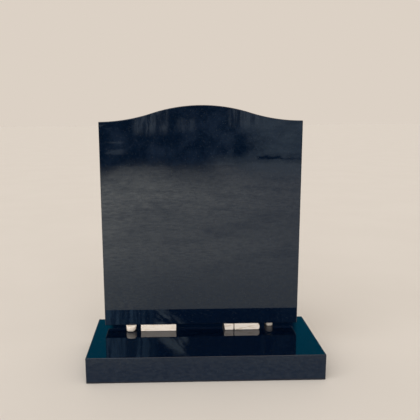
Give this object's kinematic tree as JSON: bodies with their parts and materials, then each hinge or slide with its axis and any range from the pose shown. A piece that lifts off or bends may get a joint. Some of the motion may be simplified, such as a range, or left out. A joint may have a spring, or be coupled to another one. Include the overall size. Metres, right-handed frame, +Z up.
{
  "type": "headstone",
  "caption": "Upright headstone of polished black granite with an ogee top, standing on loose packers over its base slab.",
  "frame": {"origin": "middle of the base slab's underside, on the ground", "axes": "+Z up, +X to the right and +Y to the back as one faces the stone, so the polished face looks along -Y"},
  "size_m": [0.686, 0.305, 0.7802],
  "materials": {
    "base_granite": "polished",
    "tablet_granite": "polished",
    "packer_wood": "matte"
  },
  "bodies": {
    "root": {"base": "base_granite", "tablet": "tablet_granite", "packer_left": "packer_wood", "packer_right_short": "packer_wood", "packer_right_long": "packer_wood", "packer_small_left": "packer_wood", "packer_small_right": "packer_wood"}
  },
  "joints": []
}
